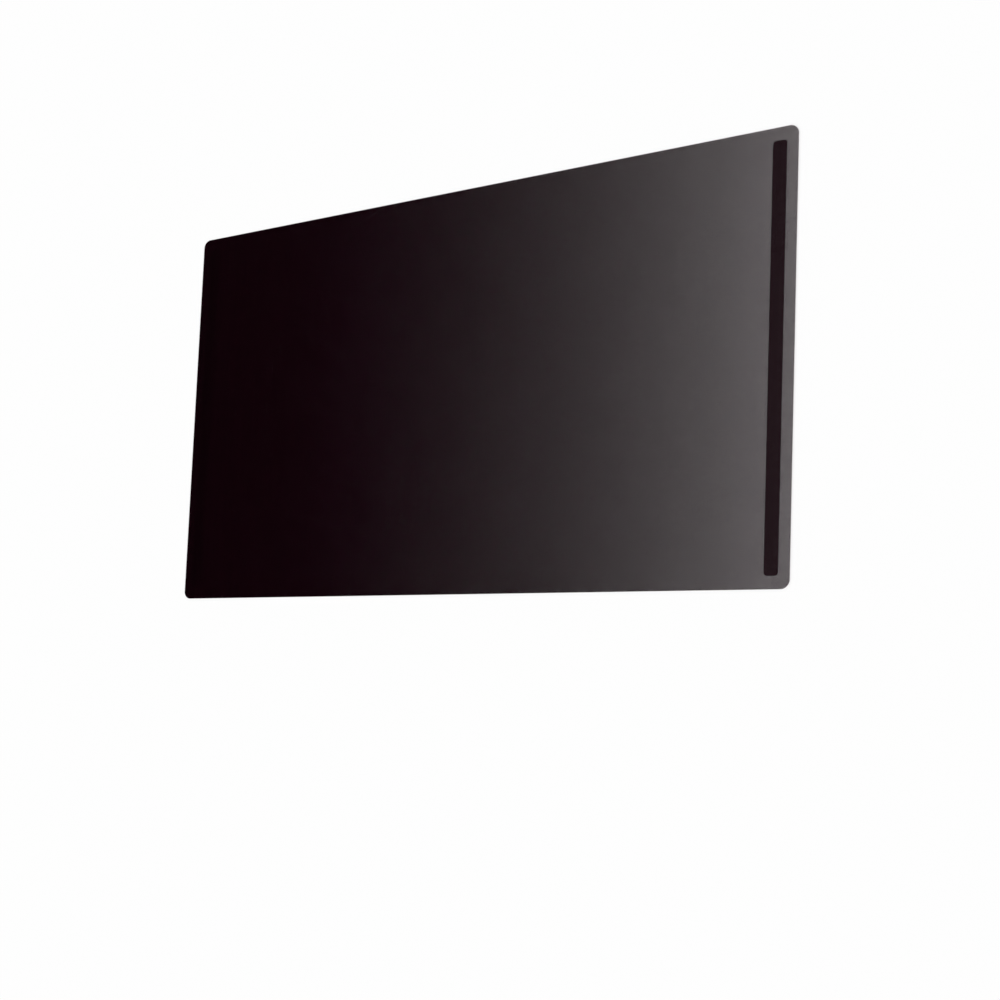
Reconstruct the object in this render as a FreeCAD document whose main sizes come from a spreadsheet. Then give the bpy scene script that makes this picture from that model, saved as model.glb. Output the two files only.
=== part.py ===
"""Privacy filter for a 24-inch 16:9 desktop screen.

A stiff, dark louvre film with rounded corners carries one flat mounting strip along each side edge
of its back.  It lies front face up: the strips' backs are on z = 0 and the film rests on the strips.
+X runs along the film's width, +Y towards its top edge, +Z out of its front face.
"""
import FreeCAD
import Part
import enum
import math
import os
import Sketcher

# Driving dimensions in millimetres: alias, value, meaning
DIMENSIONS = (
    ("film_width", 531.4, "film from side edge to side edge"),
    ("film_height", 298.9, "film from bottom edge to top edge"),
    ("film_thickness", 0.5, "film from back face to front face"),
    ("film_corner_radius", 6.3, "rounding of the film's four corners"),
    ("strip_width", 9.8, "mounting strip across its length"),
    ("strip_thickness", 0.6, "mounting strip from its back to the film"),
    ("strip_corner_radius", 2.3, "rounding of a strip's four corners"),
    ("strip_side_margin", 8.25, "bare film between a strip and the side edge beside it"),
    ("strip_end_margin", 8.7, "bare film between a strip's end and the top or bottom edge"),
)

STRIP_LENGTH = "Dimensions.film_height - 2 * Dimensions.strip_end_margin"
STRIP_OFFSET = "Dimensions.film_width / 2 - Dimensions.strip_side_margin - Dimensions.strip_width / 2"


class Point(enum.IntEnum):
    """The numbers by which a constraint names a point of a line or arc."""
    START = 1
    END = 2
    CENTRE = 3


# The sketch's own origin: the start point of its horizontal axis
ORIGIN = (-1, Point.START)


def add_dimensions(doc):
    """Write the driving dimensions to a sheet, each in a cell with its own alias."""
    sheet = doc.addObject("Spreadsheet::Sheet", "Dimensions")
    for row, (alias, value, meaning) in enumerate(DIMENSIONS, start=1):
        sheet.set(f"A{row}", alias)
        sheet.set(f"B{row}", str(value))
        sheet.set(f"C{row}", meaning)
        sheet.setAlias(f"B{row}", alias)
    doc.recompute()
    return sheet


def origin_plane(body, role):
    """Find one of the body's own origin planes."""
    return next(feature for feature in body.Origin.OriginFeatures if feature.Role == role)


def draw_rounded_rectangle(body, name, width, height, radius):
    """Sketch a rectangle with four equal round corners, centred on the body's XY plane.

    width, height and radius are expressions over the sheet's cells.
    """
    sketch = body.newObject("Sketcher::SketchObject", name)
    sketch.AttachmentSupport = [(origin_plane(body, "XY_Plane"), "")]
    sketch.MapMode = "FlatFace"

    half_width = sketch.evalExpression(f"({width}) / 2")
    half_height = sketch.evalExpression(f"({height}) / 2")
    corner = sketch.evalExpression(radius)

    # The outline runs counter-clockwise: bottom side, then each corner and the side after it
    centre_x = half_width - corner
    centre_y = half_height - corner
    ends = (
        ((-centre_x, -half_height), (centre_x, -half_height)),
        ((half_width, -centre_y), (half_width, centre_y)),
        ((centre_x, half_height), (-centre_x, half_height)),
        ((-half_width, centre_y), (-half_width, -centre_y)),
    )
    sides = []
    for start, end in ends:
        line = Part.LineSegment(FreeCAD.Vector(*start, 0), FreeCAD.Vector(*end, 0))
        sides.append(sketch.addGeometry(line))
    centres = (
        (centre_x, -centre_y),
        (centre_x, centre_y),
        (-centre_x, centre_y),
        (-centre_x, -centre_y),
    )
    quarter_turn = math.pi / 2
    corners = []
    for quarter, centre in enumerate(centres):
        circle = Part.Circle(FreeCAD.Vector(*centre, 0), FreeCAD.Vector(0, 0, 1), corner)
        arc = Part.ArcOfCircle(circle, (quarter - 1) * quarter_turn, quarter * quarter_turn)
        corners.append(sketch.addGeometry(arc))

    bottom, right, top, left = sides
    for index, arc in enumerate(corners):
        side_before = sides[index]
        side_after = sides[(index + 1) % len(sides)]
        sketch.addConstraint(
            Sketcher.Constraint("Tangent", side_before, Point.END, arc, Point.START))
        sketch.addConstraint(
            Sketcher.Constraint("Tangent", arc, Point.END, side_after, Point.START))
    for side in (bottom, top):
        sketch.addConstraint(Sketcher.Constraint("Horizontal", side))
    for side in (right, left):
        sketch.addConstraint(Sketcher.Constraint("Vertical", side))
    for arc in corners[1:]:
        sketch.addConstraint(Sketcher.Constraint("Equal", corners[0], arc))
    sketch.addConstraint(Sketcher.Constraint(
        "Symmetric", corners[0], Point.CENTRE, corners[2], Point.CENTRE, *ORIGIN))

    sizes = (
        ("width", width, Sketcher.Constraint(
            "DistanceX", left, Point.START, right, Point.START, 2 * half_width)),
        ("height", height, Sketcher.Constraint(
            "DistanceY", bottom, Point.START, top, Point.START, 2 * half_height)),
        ("radius", radius, Sketcher.Constraint("Radius", corners[0], corner)),
    )
    for size_name, expression, constraint in sizes:
        index = sketch.addConstraint(constraint)
        sketch.renameConstraint(index, size_name)
        sketch.setExpression(f"Constraints.{size_name}", expression)
    return sketch


def add_plate(doc, label, width, height, radius, thickness):
    """Pad a rounded rectangle upwards from the body's XY plane into a flat plate."""
    body = doc.addObject("PartDesign::Body", label)
    body.Label = label
    outline = draw_rounded_rectangle(body, f"{label}_outline", width, height, radius)
    plate = body.newObject("PartDesign::Pad", f"{label}_plate")
    plate.Profile = outline
    plate.setExpression("Length", thickness)
    return body


def add_film(doc):
    """Make the louvre film: one stiff sheet, laid on the strips."""
    film = add_plate(
        doc, "privacy_film",
        "Dimensions.film_width", "Dimensions.film_height",
        "Dimensions.film_corner_radius", "Dimensions.film_thickness")
    film.setExpression("Placement.Base.z", "Dimensions.strip_thickness")
    return film


def add_strip(doc, label, side):
    """Make a mounting strip on the film's back, along its left (side -1) or right (side 1) edge."""
    strip = add_plate(
        doc, label,
        "Dimensions.strip_width", STRIP_LENGTH,
        "Dimensions.strip_corner_radius", "Dimensions.strip_thickness")
    strip.setExpression("Placement.Base.x", f"{side} * ({STRIP_OFFSET})")
    return strip


def check(doc, bodies):
    """Stop if a feature failed, a sketch has loose geometry or a body isn't one valid solid."""
    for feature in doc.Objects:
        if "Invalid" in feature.State or "Error" in feature.State:
            raise RuntimeError(f"{feature.Label} failed: {feature.State}")
        if feature.TypeId == "Sketcher::SketchObject" and not feature.FullyConstrained:
            raise RuntimeError(f"{feature.Label} is not fully constrained")
    for body in bodies:
        shape = body.Shape
        if shape.isNull() or not shape.isValid() or len(shape.Solids) != 1:
            raise RuntimeError(f"{body.Label} is not one valid solid")


def main():
    doc = FreeCAD.newDocument("privacy_filter")
    add_dimensions(doc)
    bodies = [
        add_film(doc),
        add_strip(doc, "left_mounting_strip", -1),
        add_strip(doc, "right_mounting_strip", 1),
    ]
    doc.recompute()
    check(doc, bodies)

    os.makedirs("parts", exist_ok=True)
    for body in bodies:
        body.Shape.exportStep(f"parts/{body.Label}.step")


main()
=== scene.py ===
"""Looks of a privacy filter: a louvre film lying face up on its two mounting strips.

The film's darkness comes from its real structure.  Thousands of thin dark slats stand inside the clear
film, parallel to its side edges, so it is see-through from straight above and black from the side.
"""
import math

import bpy
from mathutils import Matrix, Vector


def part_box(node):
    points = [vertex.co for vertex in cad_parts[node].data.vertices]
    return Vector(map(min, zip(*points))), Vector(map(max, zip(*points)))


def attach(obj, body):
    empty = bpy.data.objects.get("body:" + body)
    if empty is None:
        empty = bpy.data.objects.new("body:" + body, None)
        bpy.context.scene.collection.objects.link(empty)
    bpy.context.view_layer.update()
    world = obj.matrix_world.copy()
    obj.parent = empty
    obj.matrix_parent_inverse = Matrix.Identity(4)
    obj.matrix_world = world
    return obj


MM = 0.001
WHITE = (1.0, 1.0, 1.0, 1.0)

# Film: clear and smoky, with matte faces
FILM_CORNER_RADIUS = 6.3 * MM
FILM_TINT = (0.889, 0.876, 0.880, 1.0)
FILM_ROUGHNESS = (0.72, 0.84)
FILM_GRAIN_SCALE = 2500.0

# Sheen of the film's faces: the share scattered at the flattest look, and how late it rises to that
SHEEN_MOST = 0.12
SHEEN_POWER = 5.0
# The blend at which a look's facing value is one minus the cosine of its angle to the face
EVEN_BLEND = 0.5

# Louvres inside the film: a depth power below 1 makes deep slats more common than shallow ones
LOUVRE_PITCH = 0.05 * MM
LOUVRE_WIDTH = 0.004 * MM
LOUVRE_LEAST_DEPTH = 0.043 * MM
LOUVRE_MOST_DEPTH = 0.091 * MM
LOUVRE_DEPTH_POWER = 0.6
LOUVRE_END_INSET = 0.10 * MM
GOLDEN_SHARE = (math.sqrt(5) - 1) / 2
LOUVRE_COLOURS = ((0.0180, 0.0023, 0.0073), (0.0251, 0.0035, 0.0104))
LOUVRE_ROUGHNESS = 0.7
LOUVRE_STREAK_SCALE = 400.0
LOUVRE_STREAK_FINENESS = (1.0, 0.05, 1.0)

# Mounting strips: speckled, with faint lines along their length
STRIP_COLOURS = ((0.057, 0.032, 0.040), (0.082, 0.047, 0.059))
STRIP_ROUGHNESS = (0.55, 0.75)
STRIP_SPECKLE_SCALE = 1500.0
STRIP_SPECKLE_DETAIL = 4.0
STRIP_LINE_SCALE = 2500.0
STRIP_LINE_FINENESS = (1.0, 0.004, 1.0)
STRIP_LINE_STRENGTH = 0.3
STRIP_LINE_HEIGHT = 0.05 * MM

# Camera: place and aim are measured from the centre of the film's front face
CAMERA_LENS_MM = 55.84
CAMERA_SENSOR_MM = 36.0
CAMERA_OFFSET = (0.6650, -0.2345, 0.8907)
CAMERA_AIM = (0.0466, -0.1327, 0.0)
CAMERA_ROLL_DEG = -2.200
CAMERA_SHIFT_UP = 0.07
CAMERA_CLIP = (0.01, 200.0)

# Floor
FLOOR_HALF_SIZE = 60.0
FLOOR_GREY = 0.96

# Light: the sun leans from overhead towards the film's bottom edge, and the sky is brighter where it
# is seen, straight or in a gloss, than as a light
SUN_STRENGTH = 2.88
SUN_SPREAD_DEG = 15.0
SUN_TILT_DEG = 25.0
SKY_LIGHT_STRENGTH = 0.20
SKY_SEEN_STRENGTH = 1.0


def new_material(name):
    """A material with an empty node tree and its output node."""
    material = bpy.data.materials.new(name)
    material.use_nodes = True
    nodes = material.node_tree.nodes
    nodes.clear()
    output = nodes.new("ShaderNodeOutputMaterial")
    return material, nodes, material.node_tree.links, output


def noise_texture(nodes, links, scale, detail=2.0, fineness=(1.0, 1.0, 1.0)):
    """A noise pattern over object space, in metres; a fineness below 1 draws it out along that axis."""
    place = nodes.new("ShaderNodeTexCoord")
    mapping = nodes.new("ShaderNodeMapping")
    mapping.inputs["Scale"].default_value = fineness
    noise = nodes.new("ShaderNodeTexNoise")
    noise.inputs["Scale"].default_value = scale
    noise.inputs["Detail"].default_value = detail
    links.new(place.outputs["Object"], mapping.inputs["Vector"])
    links.new(mapping.outputs["Vector"], noise.inputs["Vector"])
    return noise.outputs["Fac"]


def remap(nodes, links, source, low, high):
    """Spread a 0 to 1 value over low to high."""
    spread = nodes.new("ShaderNodeMapRange")
    spread.inputs["To Min"].default_value = low
    spread.inputs["To Max"].default_value = high
    links.new(source, spread.inputs["Value"])
    return spread.outputs["Result"]


def colour_between(nodes, links, source, low, high):
    """Blend two colours by a 0 to 1 value."""
    blend = nodes.new("ShaderNodeMix")
    blend.data_type = "RGBA"
    blend.inputs["A"].default_value = (*low, 1.0)
    blend.inputs["B"].default_value = (*high, 1.0)
    links.new(source, blend.inputs["Factor"])
    return blend.outputs["Result"]


def film_material():
    """Clear smoky film with a fine anti-glare face, which scatters a little light at flat looks."""
    material, nodes, links, output = new_material("louvre_film")
    clear = nodes.new("ShaderNodeBsdfTransparent")
    clear.inputs["Color"].default_value = FILM_TINT
    sheen = nodes.new("ShaderNodeBsdfDiffuse")
    sheen.inputs["Color"].default_value = WHITE
    grain = noise_texture(nodes, links, FILM_GRAIN_SCALE)
    roughness = remap(nodes, links, grain, *FILM_ROUGHNESS)
    links.new(roughness, sheen.inputs["Roughness"])

    facing = nodes.new("ShaderNodeLayerWeight")
    facing.inputs["Blend"].default_value = EVEN_BLEND
    rise = nodes.new("ShaderNodeMath")
    rise.operation = "POWER"
    rise.inputs[1].default_value = SHEEN_POWER
    links.new(facing.outputs["Facing"], rise.inputs[0])
    sheen_share = remap(nodes, links, rise.outputs["Value"], 0.0, SHEEN_MOST)

    mix = nodes.new("ShaderNodeMixShader")
    links.new(sheen_share, mix.inputs["Fac"])
    links.new(clear.outputs["BSDF"], mix.inputs[1])
    links.new(sheen.outputs["BSDF"], mix.inputs[2])
    links.new(mix.outputs["Shader"], output.inputs["Surface"])
    return material


def louvre_material():
    """Matte black slats with a faint warm cast."""
    material, nodes, links, output = new_material("louvre_black")
    surface = nodes.new("ShaderNodeBsdfPrincipled")
    streaks = noise_texture(nodes, links, LOUVRE_STREAK_SCALE, fineness=LOUVRE_STREAK_FINENESS)
    colour = colour_between(nodes, links, streaks, *LOUVRE_COLOURS)
    links.new(colour, surface.inputs["Base Color"])
    surface.inputs["Roughness"].default_value = LOUVRE_ROUGHNESS
    surface.inputs["Specular IOR Level"].default_value = 0.0
    links.new(surface.outputs["BSDF"], output.inputs["Surface"])
    return material


def strip_material():
    """Dark flexible strip: matte, finely speckled, with faint drawn lines along its length."""
    material, nodes, links, output = new_material("mounting_strip")
    surface = nodes.new("ShaderNodeBsdfPrincipled")
    speckle = noise_texture(nodes, links, STRIP_SPECKLE_SCALE, detail=STRIP_SPECKLE_DETAIL)
    colour = colour_between(nodes, links, speckle, *STRIP_COLOURS)
    links.new(colour, surface.inputs["Base Color"])
    roughness = remap(nodes, links, speckle, *STRIP_ROUGHNESS)
    links.new(roughness, surface.inputs["Roughness"])

    lines = noise_texture(nodes, links, STRIP_LINE_SCALE, fineness=STRIP_LINE_FINENESS)
    bump = nodes.new("ShaderNodeBump")
    bump.inputs["Strength"].default_value = STRIP_LINE_STRENGTH
    bump.inputs["Distance"].default_value = STRIP_LINE_HEIGHT
    links.new(lines, bump.inputs["Height"])
    links.new(bump.outputs["Normal"], surface.inputs["Normal"])
    links.new(surface.outputs["BSDF"], output.inputs["Surface"])
    return material


def floor_material():
    """Plain, nearly white floor."""
    material, nodes, links, output = new_material("floor_white")
    surface = nodes.new("ShaderNodeBsdfDiffuse")
    surface.inputs["Color"].default_value = (FLOOR_GREY, FLOOR_GREY, FLOOR_GREY, 1.0)
    links.new(surface.outputs["BSDF"], output.inputs["Surface"])
    return material


def give_material(node, material):
    """Make a material the only one of a solid."""
    node.data.materials.clear()
    node.data.materials.append(material)


def add_mesh(name, points, faces, material):
    """Put a new object of one material into the scene."""
    mesh = bpy.data.meshes.new(name)
    mesh.from_pydata(points, [], faces)
    mesh.materials.append(material)
    piece = bpy.data.objects.new(name, mesh)
    bpy.context.collection.objects.link(piece)
    return piece


def half_length_at(x, half_width, half_height, radius):
    """Half the film's height at a distance x from its middle, where the round corners cut it."""
    past_corner_start = abs(x) - (half_width - radius)
    if past_corner_start <= 0:
        return half_height
    return half_height - radius + math.sqrt(radius ** 2 - past_corner_start ** 2)


def box_mesh(low, high):
    """Eight points and six outward faces of a box."""
    outline = ((low[0], low[1]), (high[0], low[1]), (high[0], high[1]), (low[0], high[1]))
    points = [(x, y, z) for z in (low[2], high[2]) for x, y in outline]
    faces = [(0, 3, 2, 1), (4, 5, 6, 7), (0, 1, 5, 4), (1, 2, 6, 5), (2, 3, 7, 6), (3, 0, 4, 7)]
    return points, faces


def make_louvres(film_low, film_high):
    """Stand the slats side by side across the film's width.

    Their depth differs from slat to slat by golden-ratio steps through its range, so the view closes
    gradually instead of at one sharp angle.
    """
    # The film is centred on the frame's origin
    half_width = film_high.x
    half_height = film_high.y
    base = (film_low.z + film_high.z - LOUVRE_MOST_DEPTH) / 2
    count = int(2 * (half_width - LOUVRE_END_INSET) / LOUVRE_PITCH)
    points, faces = [], []
    for index in range(count):
        x = (index - (count - 1) / 2) * LOUVRE_PITCH
        reach = half_length_at(x, half_width, half_height, FILM_CORNER_RADIUS) - LOUVRE_END_INSET
        share = ((index * GOLDEN_SHARE) % 1.0) ** LOUVRE_DEPTH_POWER
        depth = LOUVRE_LEAST_DEPTH + share * (LOUVRE_MOST_DEPTH - LOUVRE_LEAST_DEPTH)
        slat_points, slat_faces = box_mesh(
            (x - LOUVRE_WIDTH / 2, -reach, base), (x + LOUVRE_WIDTH / 2, reach, base + depth))
        faces += [tuple(len(points) + corner for corner in face) for face in slat_faces]
        points += slat_points
    louvres = add_mesh("louvre_slats", points, faces, louvre_material())
    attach(louvres, "root")


def make_floor():
    """Lay a wide floor under the strips' backs."""
    size = FLOOR_HALF_SIZE
    corners = [(-size, -size, 0), (size, -size, 0), (size, size, 0), (-size, size, 0)]
    floor = add_mesh("floor", corners, [(0, 1, 2, 3)], floor_material())


def make_sun():
    """Hang a broad sun that gives soft shadows."""
    sun = bpy.data.lights.new("soft_key", "SUN")
    sun.energy = SUN_STRENGTH
    sun.angle = math.radians(SUN_SPREAD_DEG)
    lamp = bpy.data.objects.new("soft_key", sun)
    lamp.rotation_euler.x = math.radians(SUN_TILT_DEG)
    bpy.context.collection.objects.link(lamp)


def make_sky():
    """Close the scene with a plain white sky."""
    world = bpy.data.worlds.new("studio")
    bpy.context.scene.world = world
    world.use_nodes = True
    nodes = world.node_tree.nodes
    links = world.node_tree.links
    nodes.clear()
    output = nodes.new("ShaderNodeOutputWorld")
    background = nodes.new("ShaderNodeBackground")
    background.inputs["Color"].default_value = WHITE
    path = nodes.new("ShaderNodeLightPath")
    seen = nodes.new("ShaderNodeMath")
    seen.operation = "MAXIMUM"
    links.new(path.outputs["Is Camera Ray"], seen.inputs[0])
    links.new(path.outputs["Is Glossy Ray"], seen.inputs[1])
    strength = remap(nodes, links, seen.outputs["Value"], SKY_LIGHT_STRENGTH, SKY_SEEN_STRENGTH)
    links.new(strength, background.inputs["Strength"])
    links.new(background.outputs["Background"], output.inputs["Surface"])


def make_camera(front_centre):
    """Look down on the film from beyond its right edge, with the film's top edge upwards."""
    lens = bpy.data.cameras.new("camera")
    lens.lens = CAMERA_LENS_MM
    lens.sensor_width = CAMERA_SENSOR_MM
    lens.shift_y = CAMERA_SHIFT_UP
    lens.clip_start, lens.clip_end = CAMERA_CLIP
    camera = bpy.data.objects.new("camera", lens)
    bpy.context.collection.objects.link(camera)

    place = front_centre + Vector(CAMERA_OFFSET)
    aim = front_centre + Vector(CAMERA_AIM)
    towards_top = Vector((0.0, 1.0, 0.0))
    back = (place - aim).normalized()
    right = towards_top.cross(back).normalized()
    up = back.cross(right)
    level = Matrix((right, up, back)).transposed()
    roll = Matrix.Rotation(math.radians(-CAMERA_ROLL_DEG), 3, "Z")
    camera.matrix_world = Matrix.Translation(place) @ (level @ roll).to_4x4()
    bpy.context.scene.camera = camera


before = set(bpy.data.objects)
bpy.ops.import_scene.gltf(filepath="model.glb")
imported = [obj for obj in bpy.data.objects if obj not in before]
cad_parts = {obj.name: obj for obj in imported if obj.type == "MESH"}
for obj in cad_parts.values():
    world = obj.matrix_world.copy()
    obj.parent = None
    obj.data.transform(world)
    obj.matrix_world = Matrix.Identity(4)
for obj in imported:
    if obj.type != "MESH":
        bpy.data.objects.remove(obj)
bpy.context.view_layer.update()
bpy.context.scene.view_settings.view_transform = "Standard"

film_low, film_high = (Vector(corner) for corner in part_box("privacy_film"))
front_centre = Vector(((film_low.x + film_high.x) / 2, (film_low.y + film_high.y) / 2, film_high.z))

give_material(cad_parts["privacy_film"], film_material())
strip_finish = strip_material()
for name in ("left_mounting_strip", "right_mounting_strip"):
    give_material(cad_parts[name], strip_finish)
make_louvres(film_low, film_high)
make_floor()
make_sun()
make_sky()
make_camera(front_centre)
